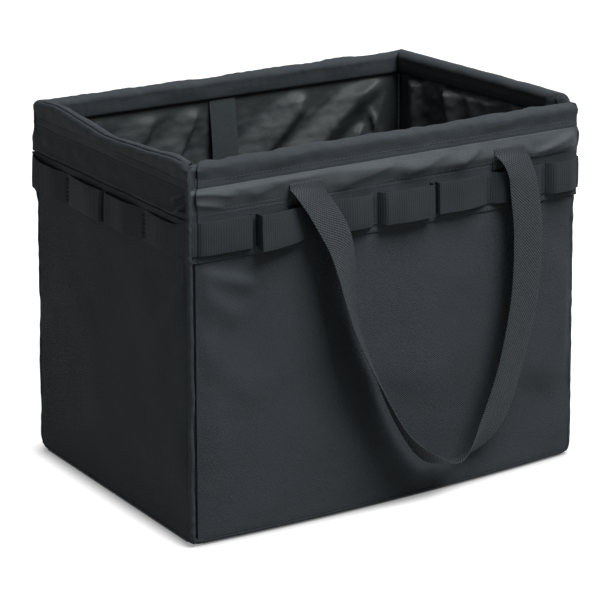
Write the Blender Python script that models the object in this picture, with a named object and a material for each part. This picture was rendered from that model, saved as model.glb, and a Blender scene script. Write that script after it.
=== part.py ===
"""A folding car organizer: an open box of coated cloth over stiff boards, with webbing handles.

Metres, +Z up. The origin is the middle of the underside. +X runs along the front wall from its
left end to its right end, and the front wall faces -Y. The left and right walls fold inwards at
their middle once the loose base board is lifted out.
"""

import math

import bmesh
import bpy
import numpy as np
from mathutils import Vector

# The box
WIDTH = 0.358  # over the cloth of the left and right walls, at the top
DEPTH = 0.243  # over the cloth of the front and back walls, at the top
HEIGHT = 0.300
WALL_LEAN = 0.004  # how much further out each wall stands at the floor than at the top
LONG_BOW = 0.008  # how far the front and back walls bulge at the middle of the floor

# Cloth and boards
GAP = 0.0003  # between pieces that touch
CLOTH = 0.0010
LINING = 0.0008
BAND = 0.0008  # cloth of the collar and of the strip behind the belt
BOARD = 0.0024
BOARD_END = 0.010  # from a wall board's upright edge to the corner
HINGE_LINE = 0.002  # between the two halves of a side board
TRAY_LIP = 0.008  # how far the bottom cloth is turned up the walls
TRAY_CORNER = 0.006
BASE_BOARD = 0.0030
BASE_BOARD_PLAY = 0.0015  # between the base board and the deepest fold of the lining
BASE_BOARD_CORNER = 0.008
LINING_FOLD = 0.005  # depth of the loose folds in the lining
LINING_FADE = 0.060  # the folds grow over this distance from the lining's edges
LONG_FOLDS = (0.062, 52)  # distance between folds, and their slant in degrees from upright
SHORT_FOLDS = (0.048, 8)

# Rolled rim
FLANGE = 0.019  # from the top down to the rim's stitched lower edge
RIM_SWELL = 0.0018  # how much the roll is thicker than the flange, on each side of its middle
RIM_PROUD = 0.0005  # how far the roll stands out past the outer flange
ROD_END = 0.012  # from a rim rod's end to the corner
WALL_TOP = 0.0115  # from the top of the rim down to the edges that it grips

# Bands, belt and corners
COLLAR_WIDTH = 0.0192
BACKING_WIDTH = 0.0367
BELT_SEAM = 0.0065  # from the backing's lower edge up to the belt's
BELT_WIDTH = 0.025
WEBBING = 0.0012  # thickness of the belt and of the closing straps
LOOP_RISE = 0.0064  # of the belt between two tacks
TACK = 0.0040  # width of a bar tack across the belt
LONG_PITCH = 0.054  # between bar tacks on the front and back
LONG_SHIFT = 0.010  # of the row of tacks, from the wall's middle
SHORT_PITCH = 0.061
SHORT_SHIFT = -0.0025
PIPING_RADIUS = 0.0026
PIPING_PROUD = 0.0016
BINDING_RADIUS = 0.0016

# Carrying handles
HANDLE_WIDTH = 0.030
HANDLE_WEBBING = 0.0016
HANDLE_FOLD = 0.0012  # radius at which the webbing folds over its sewn end
HANDLE_DROP = 0.0082  # from the rim's lower edge down to the fold
HANDLE_LOW = 0.0330  # height of the lowest point of the hanging webbing's middle line
HANDLE_TAIL = 0.0015  # from the belt's upper edge to the sewn end

# How a handle hangs: along the wall, how much of its fall is behind it, how far it is out past the
# belt's loops, and how many degrees it is turned out of the wall
HANDLE_ROUTE = (
    (-0.0755, 0.049, 0.0016, 0),
    (-0.064, 0.141, 0.0042, 5),
    (-0.052, 0.245, 0.0062, 19),
    (-0.043, 0.454, 0.0085, 48),
    (-0.030, 0.646, 0.0115, 62),
    (-0.006, 0.871, 0.0150, 78),
    (0.031, 1.000, 0.0165, 90),
    (0.073, 0.912, 0.0150, 78),
    (0.098, 0.737, 0.0115, 60),
    (0.116, 0.504, 0.0075, 32),
    (0.121, 0.283, 0.0045, 11),
    (0.119, 0.141, 0.0032, 3),
    (0.1155, 0.049, 0.0014, 0),
)
HANDLE_ENDS = (-0.080, 0.113)  # along the wall, of the webbing's two sewn ends
HANDLE_EASE = 0.003  # height over which the webbing comes away from its fold
ROUTE_STEPS = 3  # pieces of ribbon between two points of the route

# Closing straps inside, with their hook and loop tape
CLOSER_WIDTH = 0.025
CLOSER_LENGTH = 0.105
CLOSER_SHIFT = 0.008  # of the strap's middle, from the wall's middle
CLOSER_CLEAR = 0.003  # how far the strap bows past the lining's folds
CLOSER_HANG = 135  # degrees of a sine wave that the bowed strap follows, down to its free end
TAPE_LENGTH = 0.045
TAPE = 0.0014
TAPE_SIDE = 0.0015  # from the tape's edge to the strap's edge
TAPE_LOW = 0.004  # from the tape to the strap's free end

SIDES = ("front", "right", "back", "left")

# How finely the pieces are cut, as cells along and up a wall
LONG_CELLS = 12
SHORT_CELLS = 4
WALL_ROWS = 6
LINING_LONG_CELLS = 16
LINING_SHORT_CELLS = 11
LINING_ROWS = 10
LOOP_CELLS = 6

# How far each layer of a wall lies out of the outer cloth's face
CLOTH_IN = -CLOTH
BOARD_OUT = CLOTH_IN - GAP
BOARD_IN = BOARD_OUT - BOARD
LINING_OUT = BOARD_IN - GAP
LINING_IN = LINING_OUT - LINING
BAND_OUT = GAP + BAND
BELT_IN = BAND_OUT + GAP
LOOP_OUT = BELT_IN + WEBBING + LOOP_RISE
FLANGE_LOW = HEIGHT - FLANGE
WALL_EDGE = HEIGHT - WALL_TOP
COLLAR_LOW = FLANGE_LOW - GAP - COLLAR_WIDTH
BACKING_LOW = COLLAR_LOW - GAP - BACKING_WIDTH
BELT_LOW = BACKING_LOW + BELT_SEAM
HANDLE_TOP = FLANGE_LOW - HANDLE_DROP

COLORS = {
    "cloth": ((0.033, 0.038, 0.043), 0.62),
    "lining": ((0.045, 0.052, 0.056), 0.42),
    "webbing": ((0.042, 0.049, 0.053), 0.70),
    "board": ((0.060, 0.063, 0.066), 0.55),
}

pieces = []


def settle(x, y, z):
    """Moves a point of a straight box to where the leaning and bulging box has it."""
    half_x, half_y = WIDTH / 2, DEPTH / 2
    lean = WALL_LEAN * (1 - z / HEIGHT)
    across = max(0.0, 1 - (x / half_x) ** 2)
    bulge = LONG_BOW * across * max(0.0, 1 - z / FLANGE_LOW)
    return Vector((x * (1 + lean / half_x), y * (1 + (lean + bulge) / half_y), z))


def place(side, along, out, z):
    """A point of a wall: along it, out of its cloth and above the floor."""
    front, end = DEPTH / 2 + out, WIDTH / 2 + out
    spot = {
        "front": (along, -front),
        "right": (end, along),
        "back": (-along, front),
        "left": (-end, -along),
    }
    return settle(*spot[side], z)


def half_length(side):
    return WIDTH / 2 if side in ("front", "back") else DEPTH / 2


def cut(bm, axis, cuts):
    """Cuts every edge that runs along an axis into equal lengths."""
    if cuts < 1:
        return
    along = [e for e in bm.edges if abs((e.verts[1].co - e.verts[0].co).normalized()[axis]) > 0.9]
    bmesh.ops.subdivide_edges(bm, edges=along, cuts=cuts, use_grid_fill=True)


def lattice(cells_x, cells_z, cells_y=1):
    """A unit cube cut into cells."""
    bm = bmesh.new()
    bmesh.ops.create_cube(bm, size=1)
    cut(bm, 0, cells_x - 1)
    cut(bm, 2, cells_z - 1)
    cut(bm, 1, cells_y - 1)
    return bm


def split_layers(bm):
    """Cuts the cells of a lattice's two layers along the same diagonal, so that they stay as far apart."""
    bm.normal_update()
    for face in [f for f in bm.faces if abs(f.normal.y) > 0.5]:
        corners = sorted(face.verts, key=lambda v: v.co.x + v.co.z)
        bmesh.utils.face_split(face, corners[0], corners[-1])


def index(unit, cells):
    """Which line of a lattice a point lies on."""
    return round((unit + 0.5) * cells)


def add(name, bm, look, smooth=False):
    """Makes the object of a finished mesh, with its own material."""
    bmesh.ops.recalc_face_normals(bm, faces=bm.faces)
    if bm.calc_volume(signed=True) < 0:
        bmesh.ops.reverse_faces(bm, faces=bm.faces)
    mesh = bpy.data.meshes.new(name)
    bm.to_mesh(mesh)
    bm.free()
    if smooth:
        mesh.shade_smooth()
        mesh.set_sharp_from_angle(angle=math.radians(40))
    color, roughness = COLORS[look]
    material = bpy.data.materials.new(name)
    material.use_nodes = True
    shader = material.node_tree.nodes["Principled BSDF"]
    shader.inputs["Base Color"].default_value = (*color, 1)
    shader.inputs["Roughness"].default_value = roughness
    shader.inputs["Metallic"].default_value = 0
    mesh.materials.append(material)
    pieces.append(bpy.data.objects.new(name, mesh))


def strip(name, side, look, stations, levels, layer, wave=None):
    """A closed strip of one wall, between its inner and outer layer.

    An end that reaches the corner is mitred there, just short of the next wall's strip.
    """
    inner, outer = layer
    last_x, last_z = len(stations) - 1, len(levels) - 1
    bm = lattice(last_x, last_z)
    if wave:
        split_layers(bm)
    for vert in bm.verts:
        column = index(vert.co.x, last_x)
        out = outer if vert.co.y > 0 else inner
        along, z = stations[column], levels[index(vert.co.z, last_z)]
        if abs(along) > half_length(side) - GAP / 2:
            along = math.copysign(half_length(side) + out - GAP, along)
        if wave:
            out += wave(along, z)
        vert.co = place(side, along, out, z)
    add(name, bm, look)


def wall_levels(low, high, rows):
    """Heights of a wall piece: the bulge ends at the rim's lower edge."""
    return [*np.linspace(low, FLANGE_LOW, rows), high]


def columns(reach, count):
    return list(np.linspace(-reach, reach, count + 1))


def post(name, look, inset, radius, low, high):
    """Upright cords, one in each corner of the box."""
    corners = {"front_left": (-1, -1), "front_right": (1, -1), "back_right": (1, 1), "back_left": (-1, 1)}
    for corner, (right, back) in corners.items():
        bm = bmesh.new()
        bmesh.ops.create_cone(bm, cap_ends=True, segments=10, radius1=radius, radius2=radius, depth=1)
        for vert in bm.verts:
            z = high if vert.co.z > 0 else low
            x = right * (WIDTH / 2 - inset) + vert.co.x
            y = back * (DEPTH / 2 - inset) + vert.co.y
            vert.co = settle(x, y, z)
        add(f"{name}_{corner}", bm, look, smooth=True)


def slab(half_x, half_y, low, high, cells, corner=0.0):
    """A level sheet whose long edges follow the bulge of the walls."""
    bm = lattice(cells, 1)
    for vert in bm.verts:
        vert.co = Vector((vert.co.x * 2 * half_x, vert.co.y * 2 * half_y, high if vert.co.z > 0 else low))
    if corner:
        upright = [e for e in bm.edges if all(abs(v.co.x) > half_x - GAP for v in e.verts)]
        upright = [e for e in upright if abs(e.verts[0].co.z - e.verts[1].co.z) > (high - low) / 2]
        bmesh.ops.bevel(bm, geom=upright, offset=corner, segments=3, profile=0.5, affect="EDGES")
    return bm


def settle_all(bm):
    for vert in bm.verts:
        vert.co = settle(*vert.co)


def make_bottom():
    """The bottom cloth with its turned-up lip, the lining over it and the loose board."""
    tray = slab(WIDTH / 2, DEPTH / 2, 0, TRAY_LIP, LONG_CELLS, TRAY_CORNER)
    tray.faces.ensure_lookup_table()
    top = [f for f in tray.faces if f.normal.z > 0.5]
    bmesh.ops.inset_region(tray, faces=top, thickness=CLOTH, use_even_offset=True, use_boundary=True)
    pressed = bmesh.ops.extrude_face_region(tray, geom=top)
    sunk = [g for g in pressed["geom"] if isinstance(g, bmesh.types.BMVert)]
    bmesh.ops.delete(tray, geom=top, context="FACES")
    bmesh.ops.translate(tray, verts=sunk, vec=(0, 0, CLOTH - TRAY_LIP))
    settle_all(tray)
    add("outer_bottom", tray, "cloth")

    low = CLOTH + GAP
    sheet = slab(WIDTH / 2 + LINING_OUT, DEPTH / 2 + LINING_OUT, low, low + LINING, LONG_CELLS)
    settle_all(sheet)
    add("lining_bottom", sheet, "lining")

    low += LINING + GAP
    inset = -LINING_IN + LINING_FOLD + BASE_BOARD_PLAY
    board = slab(WIDTH / 2 - inset, DEPTH / 2 - inset, low, low + BASE_BOARD, 1, BASE_BOARD_CORNER)
    add("base_board", board, "lining")


def lining_wave(side):
    """Loose folds: slanting ones on the long walls, upright ones on the short walls."""
    long_wall = side in ("front", "back")
    reach = half_length(side) + LINING_IN
    spacing, slant = LONG_FOLDS if long_wall else SHORT_FOLDS
    tilt = math.radians(slant)
    low = CLOTH + GAP + LINING + GAP

    def fade(distance):
        t = min(max(distance / LINING_FADE, 0.0), 1.0)
        return t * t * (3 - 2 * t)

    def wave(along, z):
        run = along * math.cos(tilt) - z * math.sin(tilt)
        ridge = 0.5 + 0.5 * math.sin(2 * math.pi * run / spacing)
        edges = fade(reach - abs(along)) * fade(FLANGE_LOW - z) * fade(z - low)
        return -LINING_FOLD * ridge * edges

    return wave


def make_walls():
    floor = CLOTH + GAP
    lining_low = floor + LINING + GAP
    for side in SIDES:
        half = half_length(side)
        long_wall = side in ("front", "back")
        cells = LONG_CELLS if long_wall else SHORT_CELLS

        reach = half - 2 * PIPING_RADIUS + PIPING_PROUD - GAP
        levels = wall_levels(TRAY_LIP + GAP, WALL_EDGE, WALL_ROWS)
        strip(f"outer_{side}", side, "cloth", columns(reach, cells), levels, (CLOTH_IN, 0))

        reach = half - BOARD_END
        levels = wall_levels(floor, WALL_EDGE, WALL_ROWS)
        if long_wall:
            strip(f"board_{side}", side, "board", columns(reach, cells), levels, (BOARD_IN, BOARD_OUT))
        else:
            halves = {"a": (-reach, -HINGE_LINE / 2), "b": (HINGE_LINE / 2, reach)}
            for half_name, ends in halves.items():
                strip(f"board_{side}_{half_name}", side, "board", ends, levels, (BOARD_IN, BOARD_OUT))

        cells = LINING_LONG_CELLS if long_wall else LINING_SHORT_CELLS
        levels = wall_levels(lining_low, WALL_EDGE, LINING_ROWS)
        strip(f"lining_{side}", side, "lining", columns(half, cells), levels, (LINING_IN, LINING_OUT),
              wave=lining_wave(side))

        stations = columns(half, LONG_CELLS if long_wall else 1)
        layer = (GAP, BAND_OUT)
        strip(f"collar_{side}", side, "cloth", stations, (COLLAR_LOW, FLANGE_LOW - GAP), layer)
        strip(f"backing_{side}", side, "cloth", stations, (BACKING_LOW, COLLAR_LOW - GAP), layer)


def belt_tacks(side):
    """Where bar tacks hold the belt to a wall."""
    long_wall = side in ("front", "back")
    pitch, shift = (LONG_PITCH, LONG_SHIFT) if long_wall else (SHORT_PITCH, SHORT_SHIFT)
    count = int(2 * half_length(side) / pitch)
    return [shift + (i - (count - 1) / 2) * pitch for i in range(count)]


def make_belts():
    """Webbing tacked at intervals, which stands out as a loop between two tacks.

    On a long wall it is in two lengths, which meet under a bar tack.
    """
    for side in SIDES:
        half = half_length(side)
        tacks = belt_tacks(side)
        starts = [-half, *(t + TACK / 2 for t in tacks)]
        ends = [*(t - TACK / 2 for t in tacks), half]
        loops = list(zip(starts, ends))

        def rise(along, z):
            for a, b in loops:
                if a < along < b:
                    return LOOP_RISE * math.sin(math.pi * (along - a) / (b - a)) ** 0.8
            return 0.0

        def length(name, loops, *join):
            stations = {u for a, b in loops for u in np.linspace(a, b, LOOP_CELLS + 1)}
            strip(name, side, "webbing", sorted([*stations, *join]), (BELT_LOW, BELT_LOW + BELT_WIDTH),
                  (BELT_IN, BELT_IN + WEBBING), wave=rise)

        if side in ("front", "back"):
            middle = len(loops) // 2
            join = tacks[middle - 1]
            length(f"belt_{side}_left", loops[:middle], join - GAP / 2)
            length(f"belt_{side}_right", loops[middle:], join + GAP / 2)
        else:
            length(f"belt_{side}", loops)


def rim_section():
    """The rolled rim's outline: down the outer flange, over the roll and down the inner flange."""
    flange_out = GAP + CLOTH
    flange_in = LINING_IN - GAP - CLOTH
    radius = (flange_out - flange_in) / 2 + RIM_SWELL
    middle = flange_out + RIM_PROUD - radius
    centre = HEIGHT - radius

    def arc(r, out_from, out_to, count):
        """Points over the roll, from one distance out of the wall to another."""
        start = -math.acos((out_from - middle) / r)
        end = math.pi + math.acos(-(out_to - middle) / r)
        turn = np.linspace(start, end, count)
        return [(middle + r * math.cos(a), centre + r * math.sin(a)) for a in turn]

    outside = arc(radius, flange_out, flange_in, 15)
    inside = arc(radius - CLOTH, flange_out - CLOTH, flange_in + CLOTH, 13)
    section = [(flange_out, FLANGE_LOW), *outside, (flange_in, FLANGE_LOW)]
    section += [(flange_in + CLOTH, FLANGE_LOW), *reversed(inside), (flange_out - CLOTH, FLANGE_LOW)]
    return section, middle, centre, radius - CLOTH - GAP


def make_rims():
    """A rim of rolled cloth on each wall, and the rod that it holds."""
    section, middle, centre, rod = rim_section()
    for side in SIDES:
        half = half_length(side)
        bm = bmesh.new()
        outline = bm.faces.new([bm.verts.new((-1, out, z)) for out, z in section])
        run = bmesh.ops.extrude_face_region(bm, geom=[outline], use_keep_orig=True)
        for vert in [g for g in run["geom"] if isinstance(g, bmesh.types.BMVert)]:
            vert.co.x = 1
        for vert in bm.verts:
            end, out, z = vert.co
            vert.co = place(side, end * (half + out - GAP), out, z)
        add(f"rim_{side}", bm, "cloth", smooth=True)

        bm = bmesh.new()
        length = 2 * (half - ROD_END)
        bmesh.ops.create_cone(bm, cap_ends=True, segments=12, radius1=rod, radius2=rod, depth=length)
        for vert in bm.verts:
            vert.co = place(side, vert.co.z, middle + vert.co.x, centre + vert.co.y)
        add(f"rim_rod_{side}", bm, "board", smooth=True)


def spline(points, steps):
    """Points and directions on a smooth curve through points, which it follows to both ends."""
    points = [np.array(p, float) for p in points]
    padded = [2 * points[0] - points[1], *points, 2 * points[-1] - points[-2]]
    found = []
    for a, b, c, d in zip(padded, padded[1:], padded[2:], padded[3:]):
        for t in np.arange(steps) / steps:
            spot = b + (c - a) * t / 2 + (2 * a - 5 * b + 4 * c - d) * t**2 / 2
            spot += (3 * b - a - 3 * c + d) * t**3 / 2
            slope = (c - a) / 2 + (2 * a - 5 * b + 4 * c - d) * t + 1.5 * (3 * b - a - 3 * c + d) * t**2
            found.append((spot, slope))
    return [*found, (points[-1], points[-1] - points[-2])]


def ribbon(name, side, look, path, width, thickness, offset=0.0):
    """Webbing along a path of points, each with the direction across the webbing."""
    last = len(path) - 1
    bm = lattice(last, 2)
    for vert in bm.verts:
        i = index(vert.co.x, last)
        spot, across = path[i]
        ahead = path[min(i + 1, last)][0] - path[max(i - 1, 0)][0]
        face = across.cross(ahead).normalized()
        spot = spot + across * vert.co.z * width + face * (vert.co.y * thickness + offset)
        vert.co = place(side, *spot)
    add(name, bm, look)


def handle_path():
    """The sewn end, the fold over it, the hanging loop, and the same at the other end."""
    sewn = BELT_IN + HANDLE_WEBBING / 2
    tail = BELT_LOW + BELT_WIDTH + HANDLE_TAIL

    def end(along, outward):
        across = Vector((outward, 0, 0))
        turns = np.linspace(math.pi, 0, 5)
        fold = [(along, sewn + HANDLE_FOLD * (1 + math.cos(a)), HANDLE_TOP + HANDLE_FOLD * math.sin(a))
                for a in turns]
        return [(Vector(spot), across) for spot in [(along, sewn, tail), *fold]]

    def eased(along):
        return along, HANDLE_TOP - HANDLE_EASE, sewn + 2 * HANDLE_FOLD + HANDLE_WEBBING / 2, 0

    fall = HANDLE_TOP - HANDLE_LOW
    loose = [(u, HANDLE_TOP - share * fall, LOOP_OUT + past, turn) for u, share, past, turn in HANDLE_ROUTE]
    route = [eased(HANDLE_ENDS[0]), *loose, eased(HANDLE_ENDS[1])]
    hanging = []
    for (along, z, out, turn), (step_along, step_z, _, _) in spline(route, ROUTE_STEPS):
        turn = math.radians(turn)
        flat = math.cos(turn) / math.hypot(step_along, step_z)
        across = Vector((step_z * flat, math.sin(turn), -step_along * flat))
        hanging.append((Vector((along, out, z)), across))
    left = end(HANDLE_ENDS[0], -1)
    right = end(HANDLE_ENDS[1], 1)
    return [*left, *hanging, *reversed(right)]


def make_handles():
    for side in ("front", "back"):
        ribbon(f"handle_{side}", side, "webbing", handle_path(), HANDLE_WIDTH, HANDLE_WEBBING)


def closer_path(start, length, steps):
    """A stretch of a closing strap, which hangs from the rim and bows off the lining."""
    near = LINING_IN - GAP - WEBBING / 2
    bow = LINING_FOLD + CLOSER_CLEAR
    path = []
    for down in np.linspace(start, start + length, steps + 1):
        out = near - bow * math.sin(math.radians(CLOSER_HANG) * down / CLOSER_LENGTH)
        path.append((Vector((CLOSER_SHIFT, out, FLANGE_LOW - GAP - down)), Vector((1, 0, 0))))
    return path


def make_closers():
    """Straps inside the front and back rims, which meet over the load with hook and loop tape."""
    for side, tape in (("back", "hook_tape"), ("front", "loop_tape")):
        ribbon(f"closing_strap_{side}", side, "webbing", closer_path(0, CLOSER_LENGTH, 10), CLOSER_WIDTH,
               WEBBING)
        start = CLOSER_LENGTH - TAPE_LOW - TAPE_LENGTH
        offset = -(WEBBING + TAPE) / 2 - GAP
        ribbon(tape, side, "lining", closer_path(start, TAPE_LENGTH, 5), CLOSER_WIDTH - 2 * TAPE_SIDE, TAPE,
               offset)


for old in list(bpy.data.objects):
    bpy.data.objects.remove(old)

make_bottom()
make_walls()
make_belts()
make_rims()
post("piping", "cloth", PIPING_RADIUS - PIPING_PROUD, PIPING_RADIUS, TRAY_LIP + GAP, BACKING_LOW - GAP)
post("binding", "lining", BINDING_RADIUS - LINING_IN + GAP, BINDING_RADIUS, CLOTH + LINING + 2 * GAP,
     FLANGE_LOW - GAP)
make_handles()
make_closers()

organizer = bpy.data.collections.new("folding_car_organizer")
bpy.context.scene.collection.children.link(organizer)
for piece in pieces:
    organizer.objects.link(piece)
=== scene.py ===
"""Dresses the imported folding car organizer: woven cloth, webbing, stitching and creases.

Metres, +Z up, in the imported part's own frame. The front wall faces -Y.
"""

import math

import bmesh
import bpy
import numpy as np
from mathutils import Euler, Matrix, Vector


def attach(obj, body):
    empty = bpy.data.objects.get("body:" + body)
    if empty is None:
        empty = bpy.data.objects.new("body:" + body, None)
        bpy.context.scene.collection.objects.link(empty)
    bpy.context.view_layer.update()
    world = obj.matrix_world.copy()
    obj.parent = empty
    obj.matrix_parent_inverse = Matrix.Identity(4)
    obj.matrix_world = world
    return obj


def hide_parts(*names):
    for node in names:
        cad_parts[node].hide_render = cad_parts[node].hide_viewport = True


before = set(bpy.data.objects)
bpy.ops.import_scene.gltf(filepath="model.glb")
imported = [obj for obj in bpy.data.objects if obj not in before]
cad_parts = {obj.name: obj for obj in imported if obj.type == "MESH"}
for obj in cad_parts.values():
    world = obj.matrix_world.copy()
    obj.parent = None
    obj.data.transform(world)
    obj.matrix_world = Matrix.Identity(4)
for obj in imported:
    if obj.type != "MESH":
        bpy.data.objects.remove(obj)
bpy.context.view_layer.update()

# Camera: a long lens from above the front left corner, as a catalogue picture is taken.
camera_data = bpy.data.cameras.new("camera")
camera_data.lens = 149.65
camera_data.sensor_width = 36
camera = bpy.data.objects.new("camera", camera_data)
camera.location = (-1.0708, -1.6582, 0.7685)
camera.rotation_euler = Euler((math.radians(72.07), 0, math.radians(-32.82)))
bpy.context.scene.collection.objects.link(camera)
bpy.context.scene.camera = camera
bpy.context.scene.view_settings.view_transform = "Standard"

# Floor and light: a white floor with a painted contact shadow, its glow dimmed to grey close under
# the box, and a wide soft lamp high over the front wall. The surroundings look white, but light the
# cloth far less than that.
floor_mesh = bpy.data.meshes.new("floor")
floor_mesh.from_pydata([(-6, -6, 0), (6, -6, 0), (6, 6, 0), (-6, 6, 0)], [], [(0, 1, 2, 3)])
floor = bpy.data.objects.new("floor", floor_mesh)
bpy.context.scene.collection.objects.link(floor)


def seen_directly(nodes, links):
    """1 where the camera, a mirror or glass sees the surface, and 0 where it lights the object."""
    path = nodes.new("ShaderNodeLightPath")
    either = nodes.new("ShaderNodeMath")
    either.operation = "MAXIMUM"
    links.new(path.outputs["Is Camera Ray"], either.inputs[0])
    links.new(path.outputs["Is Glossy Ray"], either.inputs[1])
    any_of = nodes.new("ShaderNodeMath")
    any_of.operation = "MAXIMUM"
    links.new(either.outputs[0], any_of.inputs[0])
    links.new(path.outputs["Is Transmission Ray"], any_of.inputs[1])
    return any_of.outputs[0]


floor_look = bpy.data.materials.new("floor")
floor_look.use_nodes = True
nodes, links = floor_look.node_tree.nodes, floor_look.node_tree.links
nodes.clear()
matt = nodes.new("ShaderNodeBsdfDiffuse")
matt.inputs["Color"].default_value = (0.25, 0.25, 0.25, 1)
# Painted contact shadow: ambient occlusion dims the floor's glow where the box stands close by
near = nodes.new("ShaderNodeAmbientOcclusion")
near.inputs["Distance"].default_value = 0.015
near.samples = 8
fade = nodes.new("ShaderNodeMapRange")
fade.inputs["From Min"].default_value = 0.46
fade.inputs["To Min"].default_value = 0.30
fade.inputs["To Max"].default_value = 1.0
links.new(near.outputs["AO"], fade.inputs["Value"])
lift = nodes.new("ShaderNodeEmission")
links.new(fade.outputs[0], lift.inputs["Strength"])
lifted = nodes.new("ShaderNodeAddShader")
links.new(matt.outputs[0], lifted.inputs[0])
links.new(lift.outputs[0], lifted.inputs[1])
choice = nodes.new("ShaderNodeMixShader")
links.new(seen_directly(nodes, links), choice.inputs[0])
links.new(matt.outputs[0], choice.inputs[1])
links.new(lifted.outputs[0], choice.inputs[2])
out = nodes.new("ShaderNodeOutputMaterial")
links.new(choice.outputs[0], out.inputs["Surface"])
floor_mesh.materials.append(floor_look)

world = bpy.data.worlds.new("surroundings")
world.use_nodes = True
bpy.context.scene.world = world
nodes, links = world.node_tree.nodes, world.node_tree.links
nodes.clear()
dim = nodes.new("ShaderNodeBackground")
dim.inputs["Strength"].default_value = 0.195
white = nodes.new("ShaderNodeBackground")
white.inputs["Strength"].default_value = 1.0
choice = nodes.new("ShaderNodeMixShader")
links.new(seen_directly(nodes, links), choice.inputs[0])
links.new(dim.outputs[0], choice.inputs[1])
links.new(white.outputs[0], choice.inputs[2])
out = nodes.new("ShaderNodeOutputWorld")
links.new(choice.outputs[0], out.inputs["Surface"])

lamp_data = bpy.data.lights.new("front_lamp", "AREA")
lamp_data.shape = "SQUARE"
lamp_data.size = 1.5
lamp_data.energy = 150
lamp = bpy.data.objects.new("front_lamp", lamp_data)
lamp.location = (0.45, -1.25, 2.5)
lamp_aim = Vector((0, 0, 0.15))
lamp.rotation_euler = (lamp_aim - lamp.location).to_track_quat("-Z", "Y").to_euler()
bpy.context.scene.collection.objects.link(lamp)

# Wall cloth: four panels of coated 600 denier polyester, sewn together at the corners and down to
# the bottom. They hang over stiff boards, so they lie flat with only shallow waves and puckers.
SIDES = ("front", "right", "back", "left")
LONG_WALLS = ("front", "back")
WIDTH = 0.358  # over the cloth of the left and right walls, at the top
DEPTH = 0.243  # over the cloth of the front and back walls, at the top
HEIGHT = 0.300
WALL_LEAN = 0.004  # how much further out each wall stands at the floor
LONG_BOW = 0.008  # how far the front and back bulge at the floor
RIM_LOW = 0.281  # height of the rim's stitched lower edge, where the bulge ends
LIP = 0.0052  # the bottom cloth shows this far up the walls
ROUND = 0.006  # radius of the box's lower edge
CLOTH = 0.0010  # thickness
PANEL_TOP = 0.2885  # the panels end inside the rolled rim
# From a panel's left and right end to the corner: the cloth runs into the corner seam, and at the
# front left corner the front cloth stops beside it
EDGE = {
    "front": (0.0052, 0.0022),
    "right": (0.0022, 0.0022),
    "back": (0.0022, 0.0022),
    "left": (0.0022, 0.0022),
}
# How far the cloth is pulled in at those ends
PULLED = {
    "front": (0.0012, 0.0003),
    "right": (0.0003, 0.0003),
    "back": (0.0003, 0.0003),
    "left": (0.0002, 0.0008),
}
SINK = 0.0008  # the board behind lets the cloth sink no further
BELT_FOOT = 0.235  # the cloth lies flat from here up, behind the belt and the bands


def settle(points):
    """Moves points of a straight box to where the leaning and bulging box has them."""
    x, y, z = points[..., 0], points[..., 1], points[..., 2]
    low = np.clip(ROUND - z, 0, ROUND)
    inset = ROUND - np.sqrt(ROUND**2 - low**2)
    x, y = x - np.sign(x) * inset, y - np.sign(y) * inset
    lean = WALL_LEAN * (1 - z / HEIGHT)
    across = np.maximum(0, 1 - (2 * x / WIDTH) ** 2)
    bulge = LONG_BOW * across * np.maximum(0, 1 - z / RIM_LOW)
    return np.stack([x * (1 + 2 * lean / WIDTH), y * (1 + 2 * (lean + bulge) / DEPTH), z], -1)


def on_wall(side, along, out, up):
    """Points of a wall: along it from its left end, out of its cloth, and above the floor."""
    along, out, up = np.broadcast_arrays(along, out, up)
    front, end = DEPTH / 2 + out, WIDTH / 2 + out
    x, y = {
        "front": (along, -front),
        "right": (end, along),
        "back": (-along, front),
        "left": (-end, -along),
    }[side]
    return settle(np.stack([x, y, up], -1))


def half_length(side):
    return WIDTH / 2 if side in LONG_WALLS else DEPTH / 2


def smooth(t):
    t = np.clip(t, 0, 1)
    return t * t * (3 - 2 * t)


def ripple(u, v, size, seed, waves=9):
    """Soft uneven waves of about the given size, from -1 to 1."""
    random = np.random.default_rng(seed)
    total = np.zeros(np.broadcast(u, v).shape)
    for _ in range(waves):
        turn = random.uniform(0, math.pi)
        length = size * random.uniform(0.6, 1.7)
        phase, sway = random.uniform(0, 2 * math.pi, 2)
        run = (u * math.cos(turn) + v * math.sin(turn)) * 2 * math.pi / length
        cross = (v * math.cos(turn) - u * math.sin(turn)) * 2 * math.pi / (2.3 * length)
        total += np.sin(run + phase + 0.9 * np.sin(cross + sway))
    return total / math.sqrt(waves) / 1.6


def folds(u, v, rows):
    """Sculpted folds, in rows: start, end, half widths left and right of that line, height."""
    total = np.zeros(np.broadcast(u, v).shape)
    for (u0, v0), (u1, v1), left, right, height in rows:
        du, dv = u1 - u0, v1 - v0
        length = math.hypot(du, dv)
        t = ((u - u0) * du + (v - v0) * dv) / length**2
        off = ((v - v0) * du - (u - u0) * dv) / length
        fade = smooth(t / 0.3 + 0.5) * smooth((1 - t) / 0.3 + 0.5)
        total += height * fade * np.exp(-((off / np.where(off > 0, left, right)) ** 2))
    return total


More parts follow.
